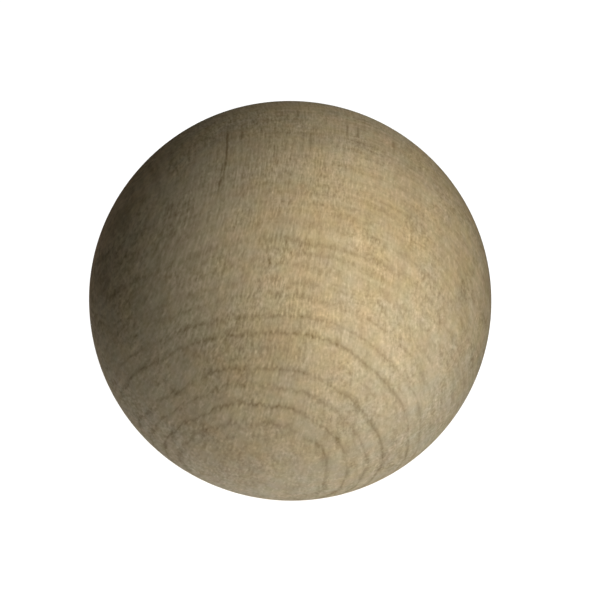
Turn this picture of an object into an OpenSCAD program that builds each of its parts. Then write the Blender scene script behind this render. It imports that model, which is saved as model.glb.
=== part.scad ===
// Plain wooden ball, turned and sanded from one block of pale hardwood.
// Millimetres, +Z up, with the origin at the centre of the ball.

/* [Ball] */
// Diameter of the ball
ball_d = 50; // [10:1:100]

/* [Outline] */
// Straight sides that the round outline is previewed with
outline_sides = 160; // [32:16:256]

/* [Hidden] */
bare_wood = [0.78, 0.69, 0.53];

// The whole object: a solid sphere, with no hole, flat or stub left by the lathe
module ball() {
    color(bare_wood)
        sphere(d = ball_d, $fn = outline_sides);
}

ball();
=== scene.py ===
# %% [markdown]
# # A plain wooden ball
#
# This lesson builds one small thing well: a bare hardwood ball, 50 mm across, turned on a lathe
# and sanded. Its shape is nearly nothing, so all of the work is in the wood. We load the exact
# ball that the construction model made, put a camera and soft light round it, model the true,
# slightly uneven surface, and then grow the wood inside it: years, fibres, specks and marks.

# %% Load the exact ball
import math
import random

import bmesh
import bpy
from mathutils import Matrix, Vector, noise


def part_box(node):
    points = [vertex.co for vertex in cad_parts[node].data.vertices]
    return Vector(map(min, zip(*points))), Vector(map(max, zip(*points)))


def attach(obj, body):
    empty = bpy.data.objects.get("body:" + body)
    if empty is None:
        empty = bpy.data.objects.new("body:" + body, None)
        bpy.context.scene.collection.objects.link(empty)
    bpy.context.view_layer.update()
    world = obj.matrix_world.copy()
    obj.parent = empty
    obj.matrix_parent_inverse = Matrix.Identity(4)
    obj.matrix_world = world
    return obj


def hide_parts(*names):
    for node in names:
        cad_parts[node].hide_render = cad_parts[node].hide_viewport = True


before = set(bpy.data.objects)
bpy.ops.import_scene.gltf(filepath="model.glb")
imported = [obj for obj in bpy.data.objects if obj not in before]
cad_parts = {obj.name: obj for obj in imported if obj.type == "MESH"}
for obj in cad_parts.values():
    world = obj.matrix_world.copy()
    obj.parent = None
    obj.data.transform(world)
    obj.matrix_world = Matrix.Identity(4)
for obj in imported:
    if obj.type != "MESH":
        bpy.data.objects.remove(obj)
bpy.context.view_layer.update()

ball_low, ball_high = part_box("ball")
ball_centre = (ball_low + ball_high) / 2
ball_radius = (ball_high.z - ball_low.z) / 2
MM = 0.001
print("exact ball:", round(2 * ball_radius / MM, 2), "mm across, lowest at", round(ball_low.z, 4), "m")

# %% [markdown]
# ## Camera
#
# A ball looks the same from everywhere, so the camera's height shows only in how the floor and
# the light fall. We look well down on it, which puts plain floor behind the whole outline. A very
# long lens, far away, keeps the outline round and shows nearly half of the surface. The distance
# comes from how much of the frame the ball should fill: a sphere's outline touches the cone whose
# half angle has the sine radius over distance.

# %% Set up the camera
camera_height_angle = math.radians(42)
lens_mm = 800
sensor_mm = 36
outline_share = 0.6687
ball_sits_left = 1.2 * MM
ball_sits_low = 0.14 * MM

half_view = math.atan(sensor_mm / 2 / lens_mm)
cone = math.atan(outline_share * math.tan(half_view))
camera_distance = ball_radius / math.sin(cone)

toward_camera = Vector((0, -math.cos(camera_height_angle), math.sin(camera_height_angle)))
camera_up = Vector((0, math.sin(camera_height_angle), math.cos(camera_height_angle)))
camera_right = Vector((1, 0, 0))

camera_data = bpy.data.cameras.new("camera")
camera_data.lens = lens_mm
camera_data.sensor_width = sensor_mm
camera_data.clip_start = 0.01
camera_data.clip_end = 20
camera = bpy.data.objects.new("camera", camera_data)
aim = ball_centre + camera_right * ball_sits_left + camera_up * ball_sits_low
camera.location = aim + toward_camera * camera_distance
camera.rotation_euler = toward_camera.to_track_quat("Z", "Y").to_euler()
bpy.context.scene.collection.objects.link(camera)
bpy.context.scene.camera = camera
bpy.context.scene.view_settings.view_transform = "Standard"
print("camera:", round(camera_distance, 3), "m from the ball")


def in_view(right, up, toward):
    """A direction given as seen from the camera, turned into the model's own axes."""
    return (camera_right * right + camera_up * up + toward_camera * toward).normalized()


# %% [markdown]
# ## Floor and lamps
#
# The floor is one large pale sheet, level with the ball's lowest point. It is only a backdrop: it
# throws no light or shade on the ball, so that the wood's own colour can be judged. All lamps but
# the daylight are round globes, because a wide globe gives soft shading. Each is hung by two
# angles, measured at the ball from the way to the camera. Collections tell a lamp what it may
# light: the ball or the floor.

# %% Lay the floor
floor_half = 1.5
floor_grey = 0.9
floor_mesh = bmesh.new()
bmesh.ops.create_grid(floor_mesh, x_segments=1, y_segments=1, size=floor_half)
bmesh.ops.translate(floor_mesh, verts=floor_mesh.verts, vec=(0, 0, ball_low.z))
floor_data = bpy.data.meshes.new("floor")
floor_mesh.to_mesh(floor_data)
floor_mesh.free()
floor = bpy.data.objects.new("floor", floor_data)
bpy.context.scene.collection.objects.link(floor)
floor.visible_shadow = False
floor.visible_diffuse = False
floor.visible_glossy = False

floor_paint = bpy.data.materials.new("pale_floor")
floor_paint.use_nodes = True
floor_shader = floor_paint.node_tree.nodes["Principled BSDF"]
floor_shader.inputs["Base Color"].default_value = (floor_grey, floor_grey, floor_grey, 1)
floor_shader.inputs["Roughness"].default_value = 0.9
floor_shader.inputs["Specular IOR Level"].default_value = 0.1
floor_data.materials.append(floor_paint)
print("floor:", 2 * floor_half, "m square")

# %% Make a round soft lamp
ball_only = bpy.data.collections.new("ball_only")
floor_only = bpy.data.collections.new("floor_only")
floor_only.objects.link(floor)


def soft_lamp(name, turn, rise, distance, radius, glow, colour=(1, 1, 1)):
    """Hang a glowing globe: angles in degrees from the camera, sizes counted in ball radii.

    Glow is how bright a white card would look if it stood where the ball is and faced the lamp.
    """
    turn = math.radians(turn)
    rise = math.radians(rise)
    level = math.cos(rise)
    direction = in_view(level * math.sin(turn), math.sin(rise), level * math.cos(turn))
    lamp_data = bpy.data.lights.new(name, "POINT")
    lamp_data.use_soft_falloff = False
    lamp_data.shadow_soft_size = radius * ball_radius
    lamp_data.energy = glow * (2 * math.pi * distance * ball_radius) ** 2
    lamp_data.color = colour
    lamp = bpy.data.objects.new(name, lamp_data)
    lamp.location = ball_centre + direction * distance * ball_radius
    lamp.visible_camera = False
    bpy.context.scene.collection.objects.link(lamp)
    return lamp


print("each lamp lights one of:", ball_only.name, "or", floor_only.name)

# %% [markdown]
# ## Light on the ball
#
# The main light is warm. It hangs near the ball on the camera's side, a little to the right, so
# the left side falls into shade. A cool glow comes from below on the left, as from a bright table,
# and three weaker lamps lift the edges, which would go flat and dark without them. A lamp behind
# the ball keeps its far side clear too. The power follows from how bright a white card should look
# there. The places, sizes, strengths and colours of the first five lamps began as the result of a
# separate fitting program, and were then rounded and adjusted by hand.

# %% Light the ball
ball_lamps = [
    soft_lamp("warm_key", 25, 5, 4.1, 2.9, 0.62, (1, 0.955, 0.865)),
    soft_lamp("floor_glow", -125, -65, 6.4, 3.0, 0.385, (0.95, 0.96, 1)),
    soft_lamp("top_edge", 85, 61, 3.0, 0.5, 0.115),
    soft_lamp("left_edge", -133, 15, 3.6, 1.45, 0.06, (1, 0.72, 0.45)),
    soft_lamp("low_right", 68, -50, 3.7, 0.5, 0.29, (0.87, 0.92, 1)),
    soft_lamp("far_side", 180, 0, 30, 3, 0.45),
]
for lamp in ball_lamps:
    lamp.light_linking.receiver_collection = ball_only
print("lamps on the ball:", [lamp.name for lamp in ball_lamps])

# %% [markdown]
# ## Light on the floor and the room
#
# Daylight from straight above makes the floor evenly pale in every view. The ball doesn't block
# it. A second, weak and very broad lamp is blocked by the ball and leaves a faint shadow at its
# foot. The room is white where the camera looks past the floor, and nearly dark as a light.

# %% Light the floor and the room
daylight_glow = 1.11
daylight_data = bpy.data.lights.new("floor_daylight", "SUN")
daylight_data.energy = math.pi * daylight_glow
daylight = bpy.data.objects.new("floor_daylight", daylight_data)
bpy.context.scene.collection.objects.link(daylight)
daylight.light_linking.blocker_collection = floor_only
shadow_lamp = soft_lamp("floor_shadow", 35, 35, 20, 9, 0.14)
for lamp in (daylight, shadow_lamp):
    lamp.light_linking.receiver_collection = floor_only

room_light = (0.01, 0.016, 0.022, 1)
room_seen = (1, 1, 1, 1)
world = bpy.data.worlds.new("studio")
world.use_nodes = True
world_nodes = world.node_tree.nodes
world_links = world.node_tree.links
background = world_nodes["Background"]
light_path = world_nodes.new("ShaderNodeLightPath")
room = world_nodes.new("ShaderNodeMix")
room.data_type = "RGBA"
room.inputs["A"].default_value = room_light
room.inputs["B"].default_value = room_seen
world_links.new(light_path.outputs["Is Camera Ray"], room.inputs["Factor"])
world_links.new(room.outputs["Result"], background.inputs["Color"])
bpy.context.scene.world = world
print("lamps on the floor:", [daylight.name, shadow_lamp.name])

# %% [markdown]
# ## The turned shape
#
# A cube whose faces are cut into a grid and then blown out onto a sphere has no poles and nearly
# even squares, so small changes of shape stay smooth all over. Real balls are never quite round:
# wood dries more across its years than along the grain, and hand sanding leaves broad, very
# shallow flats. Both are made by moving the vertices in or out, by less than a fifth of a
# millimetre. Last, the whole ball is moved until its lowest point touches the floor. The ways of
# the grain and the pith, and the streak planes further down, come from a separate fitting program.

# %% Find the way the wood lies in the ball
grain_way = in_view(0.934, -0.295, -0.201)
pith_way = in_view(0.185, 0.882, -0.434)
pith_way = (pith_way - grain_way * pith_way.dot(grain_way)).normalized()
ray_way = pith_way.cross(grain_way)
print("grain runs along", [round(c, 2) for c in grain_way])

# %% Blow a gridded cube out to a ball
grid_cuts = 125
shrunk_across_years = 0.9912
swollen_overall = 1.0038
flats_depth = 0.06 * MM
flats_per_radius = 1.6


def turned_point(cube_point):
    """Where a point of the cube's skin lies on the dried and sanded ball."""
    way = Vector([math.tan(c * math.pi / 4) for c in cube_point]).normalized()
    way_round = way * (ball_radius * swollen_overall + flats_depth * noise.noise(way * flats_per_radius))
    toward_pith = way_round.dot(pith_way)
    return ball_centre + way_round + pith_way * toward_pith * (shrunk_across_years - 1)


ball_mesh = bmesh.new()
bmesh.ops.create_cube(ball_mesh, size=2)
bmesh.ops.subdivide_edges(ball_mesh, edges=ball_mesh.edges, cuts=grid_cuts, use_grid_fill=True)
for vertex in ball_mesh.verts:
    vertex.co = turned_point(vertex.co)
lowest = min(vertex.co.z for vertex in ball_mesh.verts)
bmesh.ops.translate(ball_mesh, verts=ball_mesh.verts, vec=(0, 0, ball_low.z - lowest))
bmesh.ops.recalc_face_normals(ball_mesh, faces=ball_mesh.faces)
for face in ball_mesh.faces:
    face.smooth = True
ball_data = bpy.data.meshes.new("turned_ball")
ball_mesh.to_mesh(ball_data)
ball_mesh.free()
ball = bpy.data.objects.new("turned_ball", ball_data)
bpy.context.scene.collection.objects.link(ball)
ball_only.objects.link(ball)
print("ball mesh:", 2 * len(ball_data.polygons), "triangles")

# %% [markdown]
# ## Bare wood, grown from the inside
#
# A turned ball is cut from solid wood, so its pattern isn't wrapped round it: it runs through it.
# We build the finish from Object coordinates, in millimetres, and turn them so that X follows the
# grain and Z points to the pith, the heart of the tree. The shader then knows, for every point of
# the surface, how far from the pith that wood grew, and the rings fall out in the right curves.

# %% Start the wood finish
wood = bpy.data.materials.new("bare_wood")
wood.use_nodes = True
wood_nodes = wood.node_tree.nodes
wood_links = wood.node_tree.links
shader = wood_nodes["Principled BSDF"]


def add(kind, **inputs):
    """Add a node and fill its inputs; a socket is linked, and anything else is a plain value."""
    made = wood_nodes.new(kind)
    for name, value in inputs.items():
        fill(made.inputs[name.replace("_", " ")], value)
    return made


def fill(socket, value):
    """Link a socket to the input, or set the input to a plain value."""
    if isinstance(value, bpy.types.NodeSocket):
        wood_links.new(value, socket)
    else:
        socket.default_value = value


def sum_up(operation, *values):
    """One Math node; the operation is named as in the editor's menu."""
    made = wood_nodes.new("ShaderNodeMath")
    made.operation = operation
    for socket, value in zip(made.inputs, values):
        fill(socket, value)
    return made.outputs["Value"]


def dot(vector, way):
    """How far a point lies along a way."""
    made = wood_nodes.new("ShaderNodeVectorMath")
    made.operation = "DOT_PRODUCT"
    fill(made.inputs[0], vector)
    fill(made.inputs[1], way)
    return made.outputs["Value"]


def cloud(vector, scale, detail=0.0, roughness=0.5):
    """Soft random values, 0.5 on average, that change over about 1/scale of the vector's unit."""
    made = add("ShaderNodeTexNoise", Vector=vector, Scale=scale, Detail=detail, Roughness=roughness)
    return made.outputs["Fac"]


def spread(value, low, high, to_low=0.0, to_high=1.0):
    """Stretch low..high to to_low..to_high with soft ends."""
    made = wood_nodes.new("ShaderNodeMapRange")
    made.interpolation_type = "SMOOTHSTEP"
    for socket, number in zip(made.inputs, (value, low, high, to_low, to_high)):
        fill(socket, number)
    return made.outputs["Result"]


def near(way, reach_mm):
    """1 at the spot of the surface that lies this way from the centre, falling to 0 at the reach."""
    made = wood_nodes.new("ShaderNodeVectorMath")
    made.operation = "DISTANCE"
    fill(made.inputs[0], surface_mm)
    fill(made.inputs[1], way * ball_radius / MM)
    return spread(made.outputs["Value"], 0.0, reach_mm, 1.0, 0.0)


def drawn_curve(value, points):
    """A Float Curve with straight runs between its points."""
    made = add("ShaderNodeFloatCurve", Value=value)
    line = made.mapping.curves[0]
    line.points[0].location = points[0]
    line.points[1].location = points[-1]
    for point in points[1:-1]:
        line.points.new(*point)
    for point in line.points:
        point.handle_type = "VECTOR"
    made.mapping.update()
    return made.outputs["Value"]


print("wood finish started:", wood.name)

# %% Measure the wood in millimetres
place = add("ShaderNodeTexCoord").outputs["Object"]
in_mm = add("ShaderNodeMapping", Vector=place, Scale=(1 / MM, 1 / MM, 1 / MM))
in_mm.inputs["Location"].default_value = -ball_centre / MM
surface_mm = in_mm.outputs["Vector"]
in_wood = add("ShaderNodeMapping", Vector=surface_mm)
in_wood.inputs["Rotation"].default_value = Matrix((grain_way, ray_way, pith_way)).to_euler()
wood_mm = in_wood.outputs["Vector"]
print("measured from the ball's centre:", [round(c, 4) for c in ball_centre])

# %% [markdown]
# ## Fibres and sanding lines
#
# Across the grain the ball carries fine upright streaks, where the cut ends of fibres and the
# sandpaper's scratches lie in nearly flat planes, that close up a little toward the top. A noise
# made narrow in one direction and long in the two others gives such streaks. Several sizes of
# streak are laid over each other, with round specks and pale flecks between them. Their strength
# changes over the ball, so a few masks say where. On the right the finest and the long streaks
# give way to specks and layers, the top left has more long streaks, the middle of the front is
# rougher, and the end toward the bark is calmer.

# %% Lay the streak planes
streak_across = in_view(0.984, -0.168, -0.064)
streak_meets = in_view(0.05, 0.73, 0.68)
streak_meets_mm = 78.0
streak_along = (streak_meets - streak_across * streak_meets.dot(streak_across)).normalized()
streak_deep = streak_across.cross(streak_along)

closing = sum_up("SUBTRACT", 1.0, dot(surface_mm, streak_meets / streak_meets_mm))
across_mm = sum_up("DIVIDE", dot(surface_mm, streak_across), closing)
along_mm = dot(surface_mm, streak_along)
deep_mm = dot(surface_mm, streak_deep)
print("streak planes would meet", streak_meets_mm, "mm from the ball's centre")


def streaks(width, length, detail=0.0):
    """Noise whose cells are width across and length along the streak planes, in millimetres."""
    cell = add(
        "ShaderNodeCombineXYZ",
        X=sum_up("MULTIPLY", across_mm, 1 / width),
        Y=sum_up("MULTIPLY", along_mm, 1 / length),
        Z=sum_up("MULTIPLY", deep_mm, 1 / length),
    )
    return cloud(cell.outputs["Vector"], 1.0, detail)


fine_streaks = streaks(0.34, 0.8, 1.0)
broad_streaks = streaks(0.6, 3.0)
long_streaks = streaks(0.34, 3.0)
wide_streaks = streaks(1.6, 14.0)
specks = cloud(surface_mm, 2.7, 3.0, 0.7)
pale_flecks = spread(streaks(0.32, 0.7), 0.58, 0.76)

# %% Say where the patterns are strong
right_from_mm = -8
right_full_mm = 14
right_side = spread(across_mm, right_from_mm, right_full_mm)
top_left = spread(dot(surface_mm, in_view(-0.45, 0.89, 0.0)), 2, 20)
rough_spots = spread(cloud(surface_mm, 0.22), 0.36, 0.64, 0.65, 1.3)
rough_front = sum_up("MULTIPLY", near(in_view(0.0, 0.1, 0.99), 17.0), 0.22)
calm_end = spread(near(in_view(-0.2, -0.85, 0.48), 24.0), 0, 1, 1.0, 0.68)
roughened = sum_up("MULTIPLY", sum_up("ADD", rough_spots, rough_front), calm_end)
print("streaks, specks and masks:", len(wood_nodes), "nodes so far")

# %% [markdown]
# ## Growth years
#
# The rings are cylinders round the pith, which lies well outside this ball. Each year ends in a
# thin dark line. The years differ in width and in how dark they end, so they are listed from the
# bark side inwards, and the oldest ones are left to chance. The listed widths began as the result
# of a separate measuring program, and were then adjusted by hand.
# One curve turns the distance from the pith into a count of years, and a second one gives each
# count its darkness. The line is drawn wherever the count is close to a whole number: crisp in
# the young wood near the bark, and soft in the old wood. Some years are also a little paler in
# their middle. Layers thinner than a year lie between the lines.

# %% List the years
faint, soft, clear, strong, darkest = 0.12, 0.25, 0.5, 0.75, 1.0
outermost_mm = 71.7
pith_mm = 46.7
years = [
    (0.65, faint), (1.2, strong), (0.9, darkest), (1.1, strong), (1.05, darkest), (1.3, faint),
    (1.3, darkest), (1.4, strong), (1.7, clear), (1.3, soft), (1.6, soft), (1.3, soft),
    (1.0, clear), (2.3, soft), (1.5, faint), (0.9, soft), (1.3, soft), (1.2, soft),
    (1.3, faint), (2.2, soft), (3.5, faint), (1.9, soft),
]
narrowest_mm = 1.2
widest_mm = 2.4
spare_mm = 2
random.seed(7)
while sum(width for width, _ in years) < 2 * ball_radius / MM + spare_mm:
    width = round(random.uniform(narrowest_mm, widest_mm), 1)
    years.append((width, random.choice((faint, faint, soft))))
print("years in the ball:", len(years))

# %% Count the years from the bark side
wave_mm = 1.1
waviness = sum_up("MULTIPLY", sum_up("SUBTRACT", cloud(wood_mm, 0.09, 1.0), 0.5), wave_mm)
jag_depth = spread(across_mm, -20, 15, 0.55, 0.22)
jag = sum_up("MULTIPLY", sum_up("SUBTRACT", streaks(0.45, 3.0), 0.5), jag_depth)
split = add("ShaderNodeSeparateXYZ", Vector=wood_mm)
below_pith = sum_up("SUBTRACT", pith_mm, split.outputs["Z"])
sideways = sum_up("MULTIPLY", split.outputs["Y"], split.outputs["Y"])
from_pith = sum_up("SQRT", sum_up("MULTIPLY_ADD", below_pith, below_pith, sideways))
from_bark = sum_up("SUBTRACT", outermost_mm, sum_up("ADD", sum_up("ADD", from_pith, waviness), jag))

depth_total = sum(width for width, _ in years)
year_points = [(0.0, 0.0)]
reached = 0.0
for number, (width, _) in enumerate(years, start=1):
    reached += width
    year_points.append((reached / depth_total, number / len(years)))
darkness_points = [(number / len(years), dark) for number, (_, dark) in enumerate(years, start=1)]
darkness_points.insert(0, (0.0, faint))

share_counted = drawn_curve(sum_up("DIVIDE", from_bark, depth_total), year_points)
count = sum_up("MULTIPLY", share_counted, float(len(years)))
nearest_year = sum_up("ROUND", count)
off_line = sum_up("ABSOLUTE", sum_up("SUBTRACT", count, nearest_year))
year_darkness = drawn_curve(sum_up("DIVIDE", nearest_year, float(len(years))), darkness_points)
print("wood between the first and the last line:", round(depth_total, 1), "mm")

# %% Lay thin layers along the years
layer_mm = 0.42
layer_reach_mm = 3.0
layer_cell = add(
    "ShaderNodeCombineXYZ",
    X=sum_up("MULTIPLY", from_bark, 1 / layer_mm),
    Y=sum_up("MULTIPLY", split.outputs["X"], 1 / layer_reach_mm),
    Z=sum_up("MULTIPLY", split.outputs["Y"], 1 / layer_reach_mm),
)
year_layers = cloud(layer_cell.outputs["Vector"], 1.0, 1.0)
print("layers:", layer_mm, "mm thick")

# %% Draw the dark end of each year
crisp_shape = [
    (0.0, 1.0), (0.04, 0.9), (0.1, 0.5), (0.18, 0.24), (0.3, 0.06), (0.38, 0.0), (0.5, 0.08), (1.0, 0.08),
]
soft_shape = [
    (0.0, 0.92), (0.08, 0.82), (0.2, 0.45), (0.32, 0.15), (0.42, 0.02), (0.5, 0.0), (1.0, 0.0),
]
plain_level = 0.08
crisp_until_mm = 8.5
soft_from_mm = 14.0
old_wood = spread(from_bark, crisp_until_mm, soft_from_mm)
crisp_part = sum_up("MULTIPLY", drawn_curve(off_line, crisp_shape), sum_up("SUBTRACT", 1.0, old_wood))
clearer_front = spread(sum_up("ABSOLUTE", across_mm), 3.0, 11.0, 1.65, 1.0)
soft_part = sum_up("MULTIPLY", drawn_curve(off_line, soft_shape), old_wood)
soft_part = sum_up("MULTIPLY", soft_part, clearer_front)
line = sum_up("SUBTRACT", sum_up("ADD", crisp_part, soft_part), plain_level)
pale_years = {
    8: 0.4, 9: 0.7, 10: 0.4, 11: 0.5, 12: 0.4, 13: 0.3, 14: 0.6, 16: 0.4, 17: 0.3, 19: 0.5, 20: 0.6, 21: 0.6,
}
pale_points = [(0.0, 0.0)]
for number in range(1, len(years) + 1):
    pale_points.append(((number - 0.5) / len(years), pale_years.get(number, 0.0)))
pale_points.append((1.0, 0.0))
paleness = drawn_curve(share_counted, pale_points)
broken = spread(streaks(0.7, 1.6), 0.3, 0.62, spread(right_side, 0, 1, 0.55, 0.88), 1.22)
comes_and_goes = spread(cloud(wood_mm, 0.16), 0.3, 0.6, 0.7, 1.15)
fading = sum_up("MULTIPLY", broken, comes_and_goes)
year_lines = sum_up("MULTIPLY", sum_up("MULTIPLY", line, year_darkness), fading)
print("paler years:", len(pale_years))

# %% [markdown]
# ## Marks
#
# A few single dark fibres stand out from the rest: short dark dashes near the top, a long one at
# the upper left, and a broad soft one at the right. Each lies in a streak plane. They are placed
# by the direction in which they lie from the ball's centre.

# %% Draw single dark fibres
def dark_fibre(way, length, width, depth):
    """A dash with soft edges that lies along the streaks, on the side of the ball that way points."""
    spot = way * ball_radius / MM
    across = spot.dot(streak_across) / (1 - spot.dot(streak_meets) / streak_meets_mm)
    across_off = sum_up("ABSOLUTE", sum_up("SUBTRACT", across_mm, across))
    run = streak_across.cross(way).normalized()
    along_off = sum_up("ABSOLUTE", dot(surface_mm, run))
    sharp = spread(across_off, 0.0, width, 1.0, 0.0)
    ends = spread(along_off, length * 0.25, length * 0.55, 1.0, 0.0)
    near_side = sum_up("GREATER_THAN", dot(surface_mm, way), 0.0)
    return sum_up("MULTIPLY", sum_up("MULTIPLY", sharp, ends), sum_up("MULTIPLY", near_side, depth))


long_fibre = dark_fibre(in_view(-0.315, 0.745, 0.585), 11.0, 0.32, 1.7)
other_fibres = [
    dark_fibre(in_view(-0.345, 0.61, 0.71), 5.0, 0.3, 1.1),
    dark_fibre(in_view(-0.24, 0.84, 0.49), 4.5, 0.4, 1.0),
    dark_fibre(in_view(0.035, 0.92, 0.39), 4.5, 0.4, 1.1),
    dark_fibre(in_view(0.1, 0.79, 0.6), 5.0, 0.4, 1.0),
    dark_fibre(in_view(0.28, 0.84, 0.46), 4.0, 0.35, 0.9),
    dark_fibre(in_view(0.335, 0.84, 0.43), 4.0, 0.35, 0.9),
    dark_fibre(in_view(0.51, 0.77, 0.38), 2.2, 0.5, 1.0),
    dark_fibre(in_view(0.865, -0.1, 0.49), 17.0, 1.0, 0.45),
]
marks = long_fibre
for fibre in other_fibres:
    marks = sum_up("ADD", marks, fibre)
print("dark fibres:", 1 + len(other_fibres))

# %% [markdown]
# ## Colour, sheen and relief
#
# Every pattern only makes the wood a little darker or paler than its middle colour, so they are
# added into one tone, where 0.5 is the middle, and the tone picks between a dark and a pale
# wood. The dark wood is also browner, and the pale wood is greyer. A few broad patches are
# darker or paler. Clouds of warmer and greyer, and of pinker and greener wood lie over that, and
# a few placed patches make the colour greyer on the left, at the top and at the lower right, and
# warmer at the upper right and the lower left. Bare sanded wood is nearly matt, with a little less
# sheen on its dark lines, and the fibres stand up by a few thousandths of a millimetre.

# %% Add the patterns into one tone
middle_wood = Vector((0.465, 0.375, 0.232))


def parts(*weighed):
    """Sum of (pattern, weight, the pattern's middle value)."""
    total = 0.5
    for pattern, weight, middle in weighed:
        total = sum_up("ADD", total, sum_up("MULTIPLY", sum_up("SUBTRACT", pattern, middle), weight))
    return total


def patches(*placed):
    """Parts for parts(): each patch is (its direction from the centre, its reach in mm, its weight)."""
    return [(near(way, reach_mm), weight, 0.0) for way, reach_mm, weight in placed]


darker_patches = patches(
    (in_view(-0.3, -0.8, 0.52), 10.0, 0.07),
    (in_view(-0.1, -0.15, 0.98), 12.0, 0.08),
    (in_view(-0.1, 0.72, 0.69), 8.0, 0.08),
    (in_view(-0.95, 0.1, 0.3), 9.0, 0.1),
)
paler_patches = patches(
    (in_view(0.22, -0.27, 0.94), 9.0, -0.10),
    (in_view(0.3, 0.5, 0.81), 9.0, -0.05),
    (in_view(-0.5, -0.45, 0.74), 10.0, -0.06),
    (in_view(0.25, -0.88, 0.4), 9.0, -0.04),
    (in_view(-0.1, -0.5, 0.86), 8.0, -0.05),
    (in_view(0.475, -0.42, 0.77), 9.0, -0.07),
)
long_streak_weight = sum_up("ADD", spread(right_side, 0, 1, 0.28, 0.12), spread(top_left, 0, 1, 0, 0.16))
tone = parts(
    (year_lines, 0.30, 0.0),
    (paleness, sum_up("MULTIPLY", clearer_front, -0.10), 0.0),
    *darker_patches,
    *paler_patches,
    (long_streaks, long_streak_weight, 0.5),
    (fine_streaks, sum_up("MULTIPLY", roughened, spread(right_side, 0, 1, 0.72, 0.46)), 0.5),
    (year_layers, spread(right_side, 0, 1, 0.16, 0.38), 0.5),
    (broad_streaks, spread(right_side, 0, 1, 0.22, 0.27), 0.5),
    (wide_streaks, spread(right_side, 0, 1, 0.10, 0.14), 0.5),
    (specks, sum_up("MULTIPLY", roughened, spread(right_side, 0, 1, 0.54, 0.78)), 0.5),
    (pale_flecks, -0.16, 0.1),
    (cloud(wood_mm, 0.8, 1.0), 0.10, 0.5),
    (cloud(wood_mm, 0.13, 1.0), 0.16, 0.5),
    (marks, 0.30, 0.0),
)
pale_share = Vector((1.48, 1.505, 1.553))
dark_share = Vector((0.54, 0.485, 0.377))
pale_wood = middle_wood * pale_share
dark_wood = middle_wood * dark_share


def mix(share, first, second, blend="MIX"):
    """Go from the first colour to the second; MULTIPLY stains the first with the second."""
    made = add("ShaderNodeMix")
    made.data_type = "RGBA"
    made.blend_type = blend
    for name, value in (("Factor", share), ("A", first), ("B", second)):
        fill(made.inputs[name], value)
    return made.outputs["Result"]


plain_wood = mix(tone, (*pale_wood, 1), (*dark_wood, 1))
print("middle of the wood's colour:", [round(c, 3) for c in middle_wood])

# %% Cloud it with warmer, greyer, pinker and greener wood, and lay greyer and warmer patches
warm_tint = (1.05, 1.0, 0.895, 1)
grey_tint = (0.95, 1.0, 1.105, 1)
pink_tint = (1.035, 0.97, 1.02, 1)
green_tint = (0.965, 1.03, 0.98, 1)
greyness = parts(
    (cloud(wood_mm, 0.3), 0.75, 0.5),
    (cloud(surface_mm, 0.7, 1.0), 0.75, 0.5),
    # Placed patches: greyer on the left, the top and the lower right; warmer upper right and lower left.
    *patches(
        (in_view(-0.5, -0.05, 0.86), 14.0, 0.5),
        (in_view(-0.25, 0.72, 0.64), 14.0, 0.35),
        (in_view(-0.55, 0.4, 0.73), 12.0, 0.6),
        (in_view(0.75, -0.45, 0.5), 18.0, 0.3),
        (in_view(-0.3, -0.75, 0.6), 12.0, -0.3),
        (in_view(0.4, 0.5, 0.77), 12.0, -0.2),
    ),
)
greenness = cloud(surface_mm, 0.45, 1.0)
stained = mix(1.0, plain_wood, mix(greyness, warm_tint, grey_tint), "MULTIPLY")
stained = mix(1.0, stained, mix(greenness, pink_tint, green_tint), "MULTIPLY")
fill(shader.inputs["Base Color"], stained)
print("four tints laid over the wood:", len(wood_nodes), "nodes so far")

# %% Set the sheen and the relief
pale_roughness = 0.6
dark_roughness = 0.75
relief_depth = 0.02 * MM
fill(shader.inputs["Roughness"], spread(tone, 0.35, 0.7, pale_roughness, dark_roughness))
shader.inputs["Specular IOR Level"].default_value = 0.25
relief = sum_up("ADD", sum_up("MULTIPLY", fine_streaks, 0.5), sum_up("MULTIPLY", broad_streaks, 0.5))
relief = sum_up("SUBTRACT", relief, sum_up("MULTIPLY", year_lines, 0.3))
bump = add("ShaderNodeBump", Height=relief, Distance=relief_depth, Strength=1.0)
fill(shader.inputs["Normal"], bump.outputs["Normal"])
ball_data.materials.append(wood)
print("wood finish:", len(wood_nodes), "nodes")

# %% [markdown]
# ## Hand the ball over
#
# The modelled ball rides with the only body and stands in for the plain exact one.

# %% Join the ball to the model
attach(ball, "root")
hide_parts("ball")

print("boxes written for", ball.name)
